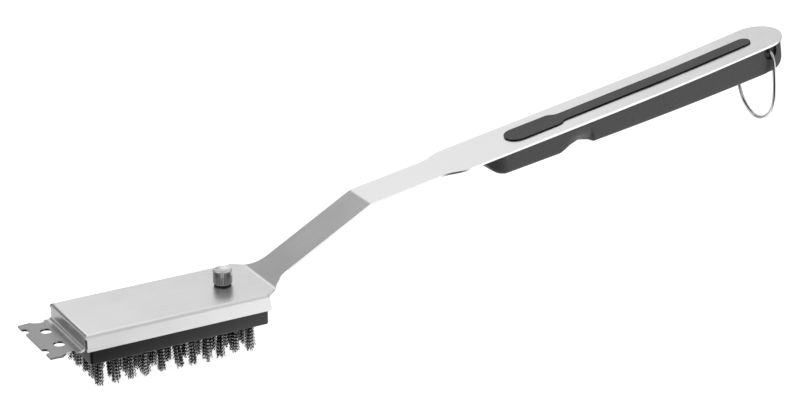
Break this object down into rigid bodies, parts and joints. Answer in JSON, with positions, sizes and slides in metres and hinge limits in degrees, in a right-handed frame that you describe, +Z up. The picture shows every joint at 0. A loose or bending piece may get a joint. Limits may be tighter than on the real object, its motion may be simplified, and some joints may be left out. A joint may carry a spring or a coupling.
{
  "type": "grill cleaning brush",
  "caption": "Long-handled grill brush: wire tufts in a block under a folded steel head with a toothed scraper, thumb screw, bent neck, plastic grip and wire hanging loop.",
  "frame": {"origin": "tip of the middle tuft of the wire brush, on the plane of the bristle tips", "axes": "+X from the brush to the end of the handle, +Z up through the head plate, +Y to the left"},
  "size_m": [0.491, 0.05, 0.122],
  "materials": {
    "sheet_steel": "fine brushed stainless",
    "knob_steel": "knurled, bright",
    "washer": "matt black",
    "block_plastic": "fine moulded grain, black",
    "insert_brass": "turned",
    "grip_plastic": "soft-touch, dark grey",
    "inlay_plastic": "soft-touch, dark grey",
    "screw_steel": "zinc plated",
    "loop_steel": "bright drawn wire",
    "bristle_wire": "crimped wire"
  },
  "bodies": {
    "frame": {"steel_frame": "sheet_steel", "grip_shell": "grip_plastic", "grip_inlay": "inlay_plastic", "grip_screw_front": "screw_steel", "grip_screw_middle": "screw_steel", "grip_screw_rear": "screw_steel"},
    "brush": {"brush_block": "block_plastic", "block_cover": "block_plastic", "threaded_insert": "insert_brass", "tuft_row_01": "bristle_wire", "tuft_row_02": "bristle_wire", "tuft_row_03": "bristle_wire", "tuft_row_04": "bristle_wire", "tuft_row_05": "bristle_wire", "tuft_row_06": "bristle_wire", "tuft_row_07": "bristle_wire", "tuft_row_08": "bristle_wire", "tuft_row_09": "bristle_wire", "tuft_row_10": "bristle_wire", "tuft_row_11": "bristle_wire"},
    "washer": {"screw_washer": "washer"},
    "screw": {"thumb_screw": "knob_steel"},
    "loop": {"hanging_loop": "loop_steel"}
  },
  "joints": [
    {"name": "loop_swing", "type": "hinge", "parent": "frame", "child": "loop", "pos_m": [0.40182, 0, 0.11395], "axis": [0, 1, 0], "range_deg": [-95, 60]},
    {"name": "brush_release", "type": "slide", "parent": "frame", "child": "brush", "axis": [0, 0, -1], "range_m": [0, 0.012]},
    {"name": "screw_lift", "type": "slide", "parent": "frame", "child": "washer", "axis": [0, 0, 1], "range_m": [0, 0.0064]},
    {"name": "screw_turn", "type": "hinge", "parent": "washer", "child": "screw", "pos_m": [0.0384, 0, 0.0352], "axis": [0, 0, 1], "range_deg": [0, 2890]}
  ],
  "couplings": [
    {"joint": "screw_turn", "follows": "screw_lift", "rad_per_m": 7854}
  ]
}
